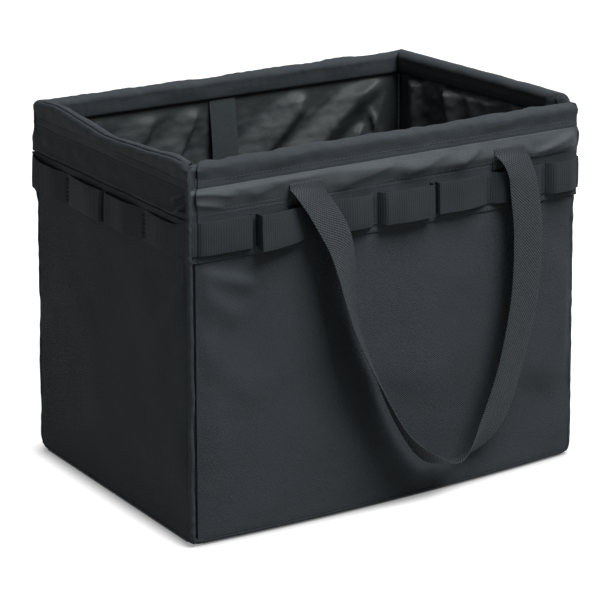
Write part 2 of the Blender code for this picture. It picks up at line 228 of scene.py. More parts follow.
def loft(name, rings):
    """A closed mesh through rings of points. A ring goes along one face and back along the other.

    Its UV map is in metres: along the loft, and round the ring.
    """
    rings = np.asarray(rings, float)
    count, ring = rings.shape[:2]
    round_ring = np.linalg.norm(np.diff(rings, axis=1, append=rings[:, :1]), axis=2)
    v = np.concatenate([[0], np.cumsum(round_ring.mean(0))])
    strides = np.linalg.norm(np.diff(rings, axis=0), axis=2).mean(1)
    u = np.concatenate([[0], np.cumsum(strides)])
    i, j = np.meshgrid(np.arange(count - 1), np.arange(ring), indexing="ij")
    k = (j + 1) % ring
    quads = np.stack([i * ring + j, i * ring + k, (i + 1) * ring + k, (i + 1) * ring + j], -1)
    spots = np.stack([np.stack([u[i], v[j]], -1), np.stack([u[i], v[j + 1]], -1),
                      np.stack([u[i + 1], v[j + 1]], -1), np.stack([u[i + 1], v[j]], -1)], -2)
    quads, spots = quads.reshape(-1, 4), spots.reshape(-1, 4, 2)
    j = np.arange(ring // 2 - 1)
    first = np.stack([j + 1, j, ring - 1 - j, ring - 2 - j], -1)
    last = (count - 1) * ring + first[:, ::-1]
    faces = np.concatenate([quads, first, last])
    ends = np.stack([v[first % ring], np.zeros_like(first, float)], -1)
    uv = np.concatenate([spots, ends, ends[:, ::-1]])
    mesh = bpy.data.meshes.new(name)
    mesh.from_pydata(rings.reshape(-1, 3).tolist(), [], faces.tolist())
    layer = mesh.uv_layers.new(name="cloth")
    layer.data.foreach_set("uv", uv.reshape(-1))
    mesh.update()
    built = bmesh.new()
    built.from_mesh(mesh)
    if built.calc_volume(signed=True) < 0:
        bmesh.ops.reverse_faces(built, faces=built.faces)
    built.to_mesh(mesh)
    built.free()
    mesh.shade_smooth()
    mesh.set_sharp_from_angle(angle=math.radians(55))
    piece = bpy.data.objects.new(name, mesh)
    bpy.context.scene.collection.objects.link(piece)
    return piece


def finish_piece(piece, look, slot, *nodes):
    """Gives a piece its material, and lets it stand for CAD nodes."""
    piece.data.materials.append(look)
    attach(piece, "root")
    if nodes:
        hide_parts(*nodes)
    return piece


def sheet_rings(side, along, up, out, thickness):
    """Rings for a sheet of cloth on a wall, from the depth of its outer face at each point."""
    u, v = np.meshgrid(along, up, indexing="ij")
    face = on_wall(side, u, out, v)
    back = on_wall(side, u, out - thickness, v)
    return np.concatenate([face, back[:, ::-1]], axis=1)


class Look:
    """A cloth material that is built up node by node."""

    def __init__(self, name, color, roughness, specular):
        self.material = bpy.data.materials.new(name)
        self.material.use_nodes = True
        self.nodes = self.material.node_tree.nodes
        self.links = self.material.node_tree.links
        self.shader = self.nodes["Principled BSDF"]
        self.shader.inputs["Roughness"].default_value = roughness
        self.shader.inputs["Specular IOR Level"].default_value = specular
        self.color = color
        coords = self.nodes.new("ShaderNodeUVMap")
        coords.uv_map = "cloth"
        self.split = self.nodes.new("ShaderNodeSeparateXYZ")
        self.links.new(coords.outputs[0], self.split.inputs[0])
        self.place = self.nodes.new("ShaderNodeTexCoord").outputs["Object"]

    def math(self, operation, *values):
        node = self.nodes.new("ShaderNodeMath")
        node.operation = operation
        for socket, value in zip(node.inputs, values):
            if isinstance(value, (int, float)):
                socket.default_value = value
            else:
                self.links.new(value, socket)
        return node.outputs[0]

    def threads(self, u_per_m, v_per_m):
        """A wave that repeats so often per metre along and across the cloth."""
        u = self.math("MULTIPLY", self.split.outputs[0], 2 * math.pi * u_per_m)
        v = self.math("MULTIPLY", self.split.outputs[1], 2 * math.pi * v_per_m)
        return self.math("SINE", self.math("ADD", u, v))

    def noise(self, size, detail=2.0):
        node = self.nodes.new("ShaderNodeTexNoise")
        node.inputs["Scale"].default_value = 1 / size
        node.inputs["Detail"].default_value = detail
        self.links.new(self.place, node.inputs["Vector"])
        return node.outputs["Fac"]

    def tint(self, value, low, high):
        """Colour from the cloth's own, times low to high as the value goes from 0 to 1."""
        ramp = self.nodes.new("ShaderNodeMix")
        ramp.data_type = "RGBA"
        ramp.inputs["A"].default_value = (*[c * low for c in self.color], 1)
        ramp.inputs["B"].default_value = (*[c * high for c in self.color], 1)
        self.links.new(value, ramp.inputs["Factor"])
        self.links.new(ramp.outputs["Result"], self.shader.inputs["Base Color"])

    def dull(self, value, low, high):
        """Roughness from low to high as the value goes from 0 to 1."""
        node = self.nodes.new("ShaderNodeMapRange")
        node.inputs["To Min"].default_value = low
        node.inputs["To Max"].default_value = high
        self.links.new(value, node.inputs["Value"])
        self.links.new(node.outputs[0], self.shader.inputs["Roughness"])

    def bump(self, height, depth):
        node = self.nodes.new("ShaderNodeBump")
        node.inputs["Distance"].default_value = depth
        self.links.new(height, node.inputs["Height"])
        self.links.new(node.outputs[0], self.shader.inputs["Normal"])


WEAVE = 0.00095  # from one thread of the cloth to the next


def woven(name, color, roughness, specular, depth):
    """Plain weave: warp and weft threads that pass over each other in turn."""
    look = Look(name, color, roughness, specular)
    checks = look.math("MULTIPLY", look.threads(0.5 / WEAVE, 0), look.threads(0, 0.5 / WEAVE))
    speck = look.noise(0.0013, 1.5)
    cloudy = look.noise(0.035, 3.0)
    mixed = look.math("MULTIPLY_ADD", checks, 0.20, look.math("MULTIPLY", speck, 0.95))
    shade = look.math("MULTIPLY_ADD", cloudy, 0.30, mixed)
    look.tint(shade, 0.68, 1.32)
    look.dull(speck, roughness - 0.08, roughness + 0.10)
    look.bump(look.math("MULTIPLY_ADD", speck, 1.6, look.math("MULTIPLY", checks, 0.6)), depth)
    return look.material


cloth_look = woven("wall_cloth", (0.029, 0.034, 0.038), 0.62, 0.03, 0.00024)


def steps(low, high, size):
    return np.linspace(low, high, max(2, round((high - low) / size)) + 1)


# Where a wall's cloth is creased
WALL_CREASES = {
    "front": [
        ((-0.176, 0.2200), (-0.125, 0.2010), 0.0050, 0.0090, 0.0030),
        ((-0.178, 0.2080), (-0.136, 0.1760), 0.0080, 0.0110, 0.0024),
        ((-0.172, 0.160), (-0.120, 0.110), 0.0200, 0.0120, 0.0016),
        ((-0.178, 0.060), (-0.170, 0.140), 0.0060, 0.0060, -0.0010),
        ((0.192, 0.168), (0.146, 0.070), 0.0200, 0.0300, 0.0050),
        ((0.060, 0.190), (0.020, 0.090), 0.0300, 0.0400, 0.0018),
        ((0.110, 0.170), (0.080, 0.060), 0.0200, 0.0260, -0.0016),
        ((-0.100, 0.090), (-0.020, 0.040), 0.0200, 0.0300, 0.0014),
    ],
    "right": [((-0.110, 0.200), (-0.060, 0.120), 0.015, 0.009, 0.0012)],
    "back": [((0.170, 0.200), (0.110, 0.130), 0.015, 0.009, 0.0012)],
    "left": [((0.118, 0.215), (0.070, 0.150), 0.013, 0.007, 0.0012)],
}
for number, side in enumerate(SIDES):
    half = half_length(side)
    along = steps(-half + EDGE[side][0], half - EDGE[side][1], 0.003)
    up = steps(LIP + 0.0003, PANEL_TOP, 0.003)
    u, v = np.meshgrid(along, up, indexing="ij")
    from_left, from_right = u - along[0], along[-1] - u
    from_end = np.minimum(from_left, from_right)
    inside = smooth(from_end / 0.018)
    body = smooth((v - LIP) / 0.02) * smooth((BELT_FOOT - v) / 0.03)
    # Long shallow waves, small puckers that are strongest at the seams, and the creases
    out = 0.0010 * ripple(u, v, 0.085, 11 + number) * inside * body
    out += 0.00022 * ripple(u, v, 0.016, 21 + number) * (1.4 - inside) * body
    out += folds(u, v, WALL_CREASES[side]) * body * smooth(0.1 + from_end / 0.012)
    # It is pulled in at both ends, and a little along the lip
    pulled_left, pulled_right = PULLED[side]
    pulled = pulled_left * (1 - smooth(from_left / 0.006))
    out -= pulled + pulled_right * (1 - smooth(from_right / 0.006))
    out -= 0.0003 * (1 - smooth((v - LIP) / 0.002))
    out = np.where(out < 0, SINK * np.tanh(out / SINK), out)
    out = np.minimum(out, 0.0002 + 0.0045 * body)  # clear of the bands above
    panel = loft(f"wall_{side}", sheet_rings(side, along, up, out, CLOTH))
    finish_piece(panel, cloth_look, "cloth", f"outer_{side}")

# Bottom: one piece of the same cloth under the whole box. Its edge is turned up round the walls and
# sewn on, and shows as a low lip.
CORNER = 0.006  # radius of the turned-up edge round a corner
# Out of the wall and up: from under the box over the lip, and back down inside it
LIP_PROFILE = [
    (-0.060, 0.0), (-0.020, 0.0), (-0.004, 0.0), (-0.0008, 0.0004), (-0.0001, 0.0014),
    (0.0000, 0.0030), (-0.0001, 0.0046), (-0.0006, 0.0052), (-0.0016, 0.0060), (-0.0018, 0.0070),
    (-0.0024, 0.0070), (-0.0022, 0.0050), (-0.0014, 0.0030), (-0.004, 0.0010), (-0.060, 0.0010),
]


def run_along(points):
    """The way from the first point to each one, along the line through them."""
    return np.concatenate([[0], np.cumsum(np.linalg.norm(np.diff(points, axis=0), axis=1))])


def around(out, up):
    """Points round the box at one distance out of its walls, from the middle of the left side."""
    count = 360
    half_x, half_y, r = WIDTH / 2 + out, DEPTH / 2 + out, CORNER + out
    spots = [(-half_x, 0)]
    corners = ((-1, -1, math.pi), (1, -1, 1.5 * math.pi), (1, 1, 0), (-1, 1, 0.5 * math.pi))
    for right, back, start in corners:
        for turn in start + np.linspace(0, math.pi / 2, 7):
            x = right * (half_x - r) + r * math.cos(turn)
            spots.append((x, back * (half_y - r) + r * math.sin(turn)))
    spots = np.array([*spots, (-half_x, 0)])
    run = run_along(spots)
    at = np.linspace(0, run[-1], count, endpoint=False) + run[-1] / count / 2
    x, y = np.interp(at, run, spots[:, 0]), np.interp(at, run, spots[:, 1])
    return settle(np.stack([x, y, np.full_like(x, up)], -1))


rings = []
for out, up in LIP_PROFILE:
    ring = around(out, up)
    if up > 0.002:  # the lip's stitched edge wavers a little
        run = np.arange(len(ring)) * 0.0034
        ring[:, 2] += 0.00018 * ripple(run, np.full_like(run, 0.3), 0.030, 61) * (up / LIP)
    rings.append(ring)
bottom = loft("bottom", rings)
finish_piece(bottom, cloth_look, "cloth", "outer_bottom")

# Corner seams: the panels' edges, and the ends of the belt and of the bands, are sewn together and
# covered with a rolled strip of cloth that stands up as a soft ridge from the bottom to the rim.
SEAM_RADIUS = 0.0020
SEAM_LOW = 0.0030
SEAM_TOP = {"left": 0.2985, "right": 0.2850}
SEAM_PINCHES = (0.2245, 0.2580, 0.2800)  # heights where rows of stitches run into it
# Whether it stands at the back and at the right (1) or not (-1), and its name
CORNERS = [
    (-1, -1, "front_left"),
    (-1, 1, "front_right"),
    (1, -1, "back_left"),
    (1, 1, "back_right"),
]
seam_look = woven("seam_cloth", (0.026, 0.031, 0.035), 0.58, 0.05, 0.0002)
for back, right, corner in CORNERS:
    up = steps(SEAM_LOW, SEAM_TOP["left" if right < 0 else "right"], 0.0012)
    turn = np.linspace(0, 2 * math.pi, 24, endpoint=False)
    z, a = np.meshgrid(up, turn, indexing="ij")
    seed = 31 + back + 2 * right
    # Thicker and further out beside the belt and the bands, thinner and further in at both ends
    banded = smooth((z - 0.216) / 0.012)
    top = smooth((z - up[-1] + 0.010) / 0.010)
    low_end = 1 - smooth((z - up[0]) / 0.010)
    pinched = sum(np.exp(-(((z - level) / 0.0020) ** 2)) for level in SEAM_PINCHES)
    swell = 1 + 0.13 * ripple(z, a * 0.002, 0.011, seed)
    swell = swell - 0.16 * pinched - 0.25 * top - 0.2 * low_end
    r = (SEAM_RADIUS + 0.0003 * banded) * swell
    r += 0.0004 * ripple(z, a * 0.0032, 0.007, seed + 9) * banded
    sunk = 0.0008 if corner == "front_left" else 0.0018
    proud = (0.0012 if right < 0 else 0.0004) * banded - 0.0016 * top - 0.0008 * low_end - sunk
    sway_x = 0.0006 * ripple(z, z * 0, 0.04, 41 + right)
    sway_y = 0.0006 * ripple(z, z * 0, 0.04, 43 + back)
    x = right * (WIDTH / 2 + proud) + r * np.cos(a) + sway_x
    y = back * (DEPTH / 2 + proud) + r * np.sin(a) + sway_y
    cord = loft(f"corner_seam_{corner}", settle(np.stack([x, y, z], -1)))
    finish_piece(cord, seam_look, "cloth", f"piping_{corner}")

# Bands: the collar under the rim is a soft double layer of wall cloth, fullest along its top, and
# the strip behind the belt is a single flat one. Both are turned in and stitched along their edges.
BAND = 0.0008  # thickness of a strip
GAP = 0.0003  # between pieces that are sewn together
COLLAR = (0.2612, 0.2810)  # heights of its lower and upper edges
BACKING = (0.2245, 0.2612)
LEFT_DROP = 0.0036  # how much lower the left wall's collar reaches, and its belt hangs
COLLAR_PUFF = {"front": 0.0042, "right": 0.0018, "back": 0.0018, "left": 0.0012}
BACKING_PUFF = 0.0003
HEM, HEM_WIDTH, HEM_RISE = 0.0012, 0.0007, 0.00030  # from the edge, half width, and height
BAND_CREASES = {
    "front": [
        ((-0.172, 0.2790), (-0.140, 0.2730), 0.0030, 0.0022, 0.0018),
        ((-0.172, 0.2700), (-0.150, 0.2640), 0.0024, 0.0018, 0.0016),
        ((-0.125, 0.2700), (-0.098, 0.2780), 0.0060, 0.0040, 0.0014),
        ((-0.050, 0.2640), (0.000, 0.2780), 0.0090, 0.0040, 0.0024),
        ((0.010, 0.2650), (0.050, 0.2790), 0.0080, 0.0040, 0.0022),
        ((0.060, 0.2660), (0.082, 0.2780), 0.0060, 0.0030, 0.0016),
        ((0.132, 0.2640), (0.178, 0.2780), 0.0030, 0.0060, 0.0032),
        ((0.150, 0.2620), (0.179, 0.2700), 0.0030, 0.0050, 0.0018),
    ],
    "left": [
        ((0.121, 0.2790), (0.100, 0.2700), 0.0020, 0.0014, 0.0040),
        ((0.121, 0.2720), (0.104, 0.2620), 0.0020, 0.0014, 0.0044),
        ((0.119, 0.2640), (0.088, 0.2590), 0.0024, 0.0014, 0.0040),
        ((0.080, 0.2600), (0.040, 0.2590), 0.0030, 0.0030, 0.0020),
        ((0.020, 0.2590), (-0.020, 0.2590), 0.0030, 0.0030, 0.0018),
        ((-0.080, 0.2590), (-0.110, 0.2600), 0.0030, 0.0030, 0.0020),
    ],
    "right": [
        ((-0.115, 0.2640), (-0.080, 0.2760), 0.0040, 0.0030, 0.0016),
        ((0.060, 0.2650), (0.110, 0.2750), 0.0050, 0.0030, 0.0014),
    ],
    "back": [
        ((-0.160, 0.2640), (-0.120, 0.2760), 0.0050, 0.0030, 0.0016),
        ((0.090, 0.2650), (0.150, 0.2750), 0.0050, 0.0030, 0.0014),
    ],
}


def corner_tuck(side, u, depth):
    """How far the front cloth is pulled in where its left end is sewn down at the corner."""
    if side != "front":
        return np.zeros_like(u)
    from_end = u + half_length(side)
    tuck = depth * np.exp(-np.maximum(0, from_end - 0.0042) / 0.0020)
    groove = 0.0022 * np.exp(-(((from_end - 0.0056) / 0.0009) ** 2))
    return tuck + groove


def stitches(name, side, look, path, slot="cloth"):
    """A row of lockstitches along a path of points on a wall, given as along, out and up."""
    pitch, length, radius, sides = 0.0034, 0.0025, 0.00028, 5  # of one stitch's thread
    path = np.array(path, float)
    run = run_along(path)
    verts, faces = [], []
    for start in np.arange(0.001, run[-1] - length, pitch):
        base = len(verts)
        for t, fat, rise in ((0, 0.35, -0.4), (0.2, 1, 0.5), (0.8, 1, 0.5), (1, 0.35, -0.4)):
            along, out, up = (np.interp(start + t * length, run, column) for column in path.T)
            for k in range(sides):
                angle = 2 * math.pi * k / sides
                raised = out + radius * (rise + fat * math.cos(angle))
                verts.append((along, raised, up + radius * fat * math.sin(angle)))
        for ring in range(3):
            for k in range(sides):
                one, two = base + ring * sides + k, base + ring * sides + (k + 1) % sides
                faces.append((one, two, two + sides, one + sides))
        faces.append(tuple(base + k for k in range(sides - 1, -1, -1)))
        faces.append(tuple(base + 3 * sides + k for k in range(sides)))
    spots = np.array(verts)
    spots = on_wall(side, spots[:, 0], spots[:, 1], spots[:, 2])
    mesh = bpy.data.meshes.new(name)
    mesh.from_pydata(spots.tolist(), [], faces)
    mesh.uv_layers.new(name="cloth")
    mesh.shade_smooth()
    built = bmesh.new()
    built.from_mesh(mesh)
    bmesh.ops.recalc_face_normals(built, faces=built.faces)
    built.to_mesh(mesh)
    built.free()
    piece = bpy.data.objects.new(name, mesh)
    bpy.context.scene.collection.objects.link(piece)
    return finish_piece(piece, look, slot)


thread = Look("thread", (0.050, 0.057, 0.062), 0.6, 0.1)
thread.tint(thread.noise(0.002, 1.0), 0.7, 1.35)
thread_look = thread.material
# Painted light: a lighter and glossier copy of the wall cloth, used only for the front wall's
# collar
front_collar_painted_light_look = woven("collar_cloth_painted_light", (0.034, 0.040, 0.044), 0.52, 0.14, 0.0002)
for number, side in enumerate(SIDES):
    half = half_length(side)
    unit = np.linspace(-1, 1, len(steps(-half, half, 0.0018)))
    drop = LEFT_DROP if side == "left" else 0
    edges = {"collar": (COLLAR[0] - drop, COLLAR[1]), "backing": (BACKING[0], BACKING[1] - drop)}
    for name, (low, high) in edges.items():
        up = steps(low, high, 0.0009)
        u, v = np.meshgrid(unit * half, up, indexing="ij")
        t = (v - low) / (high - low)
        look, puff, tuck = cloth_look, BACKING_PUFF, 0.0007
        crown = np.sin(math.pi * t) ** 0.5
        if name == "collar":
            # only the front collar takes the lighter copy of the cloth, as painted light
            look = front_collar_painted_light_look if side == "front" else cloth_look
            puff, tuck = COLLAR_PUFF[side], 0.0024
            crest = 0.80 - 0.38 * smooth((u + 0.06) / 0.12) if side == "front" else 0.6
            above = smooth((1 - t) / (1 - crest)) ** 0.6
            crown = np.where(t < crest, smooth(t / crest) ** 0.8, above)
            if side == "left":
                crown = smooth(t / 0.06) * smooth((1 - t) / 0.5)
        out = GAP + BAND + puff * crown * (0.85 + 0.30 * ripple(u, v, 0.045, 51 + number))
        out += 0.00045 * np.sin(math.pi * t) * ripple(u, v, 0.016, 55 + number)
        if name == "collar":
            kept = np.sin(math.pi * np.clip(t, 0.02, 0.98)) ** 0.5
            out += folds(u, v, BAND_CREASES[side]) * kept
        hem = np.exp(-(((v - low - HEM) / HEM_WIDTH) ** 2))
        hem = hem + np.exp(-(((high - HEM - v) / HEM_WIDTH) ** 2))
        out += HEM_RISE * hem
        if side == "left" and name == "backing":  # padded where the low collar lies against it
            out += 0.0013 * smooth((v - 0.2515) / 0.0015)
        out -= corner_tuck(side, u, tuck)
        if name == "collar":  # its right end is sewn down flat
            flat_end = (1 - smooth((half - u) / 0.014 + 0.1)) * (u > 0)
            out -= (out - GAP - BAND - 0.0004) * flat_end
        face = on_wall(side, unit[:, None] * (half + out - GAP), out, v)
        inner = on_wall(side, unit[:, None] * (half + GAP), np.full_like(out, GAP), v)
        band = loft(f"{name}_{side}_band", np.concatenate([face, inner[:, ::-1]], axis=1))
        finish_piece(band, look, "cloth", f"{name}_{side}")
        row = np.abs(up - low - 2 * HEM).argmin()
        height = np.full_like(unit, up[row])
        line = np.stack([unit * (half - 0.004), out[:, row] + 0.0001, height], -1)
        stitches(f"stitches_{name}_{side}", side, thread_look, line)

# Belt: 25 mm ribbed webbing round the box, over the strips behind it. Rows of stitches tack it down
# at intervals, and between them it stands out in loops for hooks and straps.
BELT_LOW, BELT_WIDTH = 0.231, 0.025
WEBBING = 0.0012  # thickness
BELT_IN = BAND + 2 * GAP  # its inner and outer faces where it is tacked down
BELT_OUT = BELT_IN + WEBBING
TACK = 0.0040  # width of a tacked place
TACK_ROWS = (("a", -0.0011), ("b", 0.0011))  # two rows of stitches side by side
LEAN_OVER = 0.018  # length of a loop's end that leans
LONG_TACKS = [-0.125, -0.071, -0.017, 0.037, 0.091, 0.145]
SHORT_TACKS = [-0.0635, -0.0025, 0.0585]
# Each loop: how far it stands out, over what length it rises at its left and falls at its right
# end, and how far its upper and lower edges hang
LOOPS = {
    "front": [
        (0.0040, 0.030, 0.004, 0.0, 0.0),
        (0.0088, 0.003, 0.044, 0.0, 0.0022),
        (0.0052, 0.030, 0.007, 0.0, 0.0),
        (0.0074, 0.006, 0.003, 0.0, 0.0005),
        (0.0058, 0.003, 0.022, 0.0, 0.0),
        (0.0048, 0.012, 0.008, 0.0, 0.0),
        (0.0056, 0.008, 0.012, 0.0, 0.0),
    ],
    "right": [
        (0.0060, 0.012, 0.010, 0.0008, 0.0),
        (0.0066, 0.009, 0.012, 0.0, 0.0),
        (0.0060, 0.010, 0.010, 0.0, 0.0),
        (0.0058, 0.010, 0.014, 0.0, 0.0),
    ],
    "back": [
        (0.0052, 0.014, 0.010, 0.0, 0.0),
        (0.0066, 0.008, 0.014, 0.0, 0.0),
        (0.0058, 0.010, 0.008, 0.0, 0.0),
        (0.0064, 0.007, 0.012, 0.0008, 0.0),
        (0.0052, 0.010, 0.010, 0.0, 0.0),
        (0.0060, 0.010, 0.008, 0.0, 0.0),
        (0.0050, 0.008, 0.012, 0.0, 0.0),
    ],
    "left": [
        (0.0042, 0.006, 0.034, 0.0004, 0.0),
        (0.0034, 0.034, 0.0035, 0.0006, 0.0),
        (0.0034, 0.004, 0.034, 0.0006, 0.0),
        (0.0024, 0.034, 0.050, 0.0008, 0.0),
    ],
}
# Loops whose left or right end leans over its tack, as a share of how far it stands out
LEANS = {
    ("front", 0): (0, 0.3),
    ("front", 1): (0.42, 0),
    ("front", 3): (0, 0.30),
    ("front", 4): (0.25, 0),
    ("left", 1): (0, 0.35),
    ("left", 2): (0.35, 0),
}


def webbing_look(name, color, ribs, depth):
    """Webbing with fine ribs across its length, and threads that show between them."""
    look = Look(name, color, 0.66, 0.05)
    rib = look.threads(ribs, 0)
    cross = look.threads(0, 420)
    speck = look.noise(0.0014, 2.0)
    height = look.math("MULTIPLY_ADD", look.math("MULTIPLY", rib, cross), 0.25, rib)
    shade = look.math("MULTIPLY_ADD", rib, 0.10, look.math("MULTIPLY_ADD", speck, 0.8, 0.10))
    look.tint(shade, 0.66, 1.34)
    look.bump(look.math("MULTIPLY_ADD", speck, 0.5, height), depth)
    return look.material


belt_look = webbing_look("belt_webbing", (0.023, 0.027, 0.030), 480, 0.00010)
for side_number, side in enumerate(SIDES):
    half = half_length(side)
    drop = LEFT_DROP if side == "left" else 0
    tacks = LONG_TACKS if side in LONG_WALLS else SHORT_TACKS
    bounds = [-half, *tacks, half]
    along, rise, sag_top, sag_low = [], [], [], []
    for number, (a, b) in enumerate(zip(bounds, bounds[1:])):
        height, left, right, top, low = LOOPS[side][number]
        a += 0 if number == 0 else TACK / 2
        b -= 0 if number == len(bounds) - 2 else TACK / 2
        s = a + (b - a) * (1 - np.cos(np.linspace(0, math.pi, 40))) / 2
        shape = np.sqrt(smooth((s - a) / left) * smooth((b - s) / right))
        lean_left, lean_right = LEANS.get((side, number), (0, 0))
        lean = lean_right * (1 - smooth((b - s) / LEAN_OVER))
        lean = lean - lean_left * (1 - smooth((s - a) / LEAN_OVER))
        along.extend(s + lean * height * shape)
        rise.extend(height * shape * (1 + 0.08 * np.sin((s - a) * 190 + number)))
        sag_top.extend(top * np.sin(math.pi * (s - a) / (b - a)))
        sag_low.extend(low * shape)
    rise = np.array(rise)[:, None]
    u, w = np.meshgrid(along, np.linspace(-0.5, 0.5, 11), indexing="ij")
    up = BELT_LOW + BELT_WIDTH * (w + 0.5)
    up -= np.array(sag_top)[:, None] * (w + 0.5) + np.array(sag_low)[:, None] * (0.5 - w)
    up -= drop * smooth((half - np.abs(u)) / 0.02)
    up += 0.0004 * ripple(u, w * 0.0, 0.05, 171 + side_number)
    across = w * BELT_WIDTH
    out = BELT_OUT + rise * (1 + 0.10 * ripple(u, across, 0.05, 175 + side_number))
    twist = 0.0008 * ripple(u, across, 0.07, 181 + side_number)
    out += twist * np.minimum(1, rise / 0.003) * w
    out -= 0.0003 * (2 * np.abs(w)) ** 4 + corner_tuck(side, u, 0.0)
    at_end = np.abs(u) > half - 1e-6  # it runs on round the corner to the next wall's length
    face = on_wall(side, np.where(at_end, np.sign(u) * (half + out - 2 * GAP), u), out, up)
    inner_end = np.where(at_end, np.sign(u) * (half + out - WEBBING - 2 * GAP), u)
    inner = on_wall(side, inner_end, out - WEBBING + 0.0004 * (2 * np.abs(w)) ** 4, up)
    belt = loft(f"belt_{side}_webbing", np.concatenate([face, inner[:, ::-1]], axis=1))
    lengths = ("_left", "_right") if side in LONG_WALLS else ("",)
    finish_piece(belt, belt_look, "webbing", *[f"belt_{side}{part}" for part in lengths])
    v = np.linspace(BELT_LOW + 0.0010, BELT_LOW + BELT_WIDTH - 0.0010, 12) - drop
    raised = np.full_like(v, BELT_OUT + 0.0001)
    for number, tack in enumerate(tacks):
        for row, shift in TACK_ROWS:
            line = np.stack([np.full_like(v, tack + shift), raised, v], -1)
            stitches(f"tack_{side}_{number}_{row}", side, thread_look, line, "webbing")

# Rim: each wall's cloth is rolled over a stiff plastic rod along the top edge, and stitched down on
# both faces. The right wall's roll stays open at its front end, past the rod.
RIM_CENTRE = (-0.0037, 0.2945)  # of the roll: out of the wall, and up
RIM_RADIUS = 0.0055
ROD_RADIUS = 0.0040
ROD_SHORT = 0.0140  # from a rod's end to the corner
FLANGE_OUT, FLANGE_IN = 0.0013, -0.0061  # how far out the two stitched edges lie
RIM_STITCHED = 3  # point of the profile where the outer row of stitches runs


def rim_profile():
    """The cloth's outer face, from the outer stitched edge over the roll to the inner one."""
    turn = np.radians(np.linspace(4, 192, 40))
    out, up = RIM_CENTRE
    roll = [(out + RIM_RADIUS * math.cos(a), up + RIM_RADIUS * math.sin(a)) for a in turn]
    outer = [(-0.0002, 0), (0.0000, 0.0012), (-0.0003, 0.0028),
             (-0.0005, 0.0050), (-0.0003, 0.0080), (0.0002, 0.0110)]
    inner = [(-0.0030, 0.0085), (-0.0028, 0.0060), (-0.0025, 0.0038),
             (-0.0023, 0.0022), (-0.0018, 0.0009), (-0.0006, 0)]
    outer = [(FLANGE_OUT + out, RIM_LOW + up) for out, up in outer]
    inner = [(FLANGE_IN + out, RIM_LOW + up) for out, up in inner]
    return np.array([*outer, *roll, *inner])


# How far the rolled rim rises or sags along each wall: place along the wall, and height
RIM_LIFT = {
    "front": [(-0.179, 0), (0.179, 0)],
    "right": [
        (-0.1215, 0), (-0.1135, 0), (-0.1105, 0.0060), (-0.050, 0.0050), (0.030, 0.0032),
        (0.1215, 0.0010),
    ],
    "back": [(-0.179, 0), (0.179, 0)],
    "left": [
        (-0.1215, 0), (-0.090, 0.0036), (-0.010, -0.0042), (0.060, -0.0016), (0.098, 0.0012),
        (0.1215, 0),
    ],
}
RIM_CREASES = {
    "front": [
        ((-0.178, 0.2960), (-0.160, 0.2900), 0.0024, 0.0018, 0.0009),
        ((-0.172, 0.2990), (-0.150, 0.2940), 0.0024, 0.0018, 0.0008),
        ((-0.140, 0.2880), (-0.080, 0.2940), 0.0040, 0.0030, 0.0008),
        ((0.060, 0.2880), (0.120, 0.2930), 0.0040, 0.0030, 0.0008),
    ],
    "left": [
        ((0.119, 0.2960), (0.098, 0.2890), 0.0030, 0.0020, 0.0014),
        ((0.020, 0.2860), (-0.060, 0.2900), 0.0040, 0.0030, 0.0008),
    ],
}


def eased(points, at):
    """A curve through points (place, height), rounded off except near its ends."""
    places, heights = np.array(points, float).T
    fine = np.linspace(places[0], places[-1], 241)
    rough = np.interp(fine, places, heights)
    kernel = np.hanning(33)
    soft = np.convolve(np.pad(rough, 16, mode="edge"), kernel / kernel.sum(), "valid")
    ends = smooth((fine - fine[0] - 0.016) / 0.020) * smooth((fine[-1] - fine) / 0.010)
    return np.interp(at, fine, rough + (soft - rough) * ends)


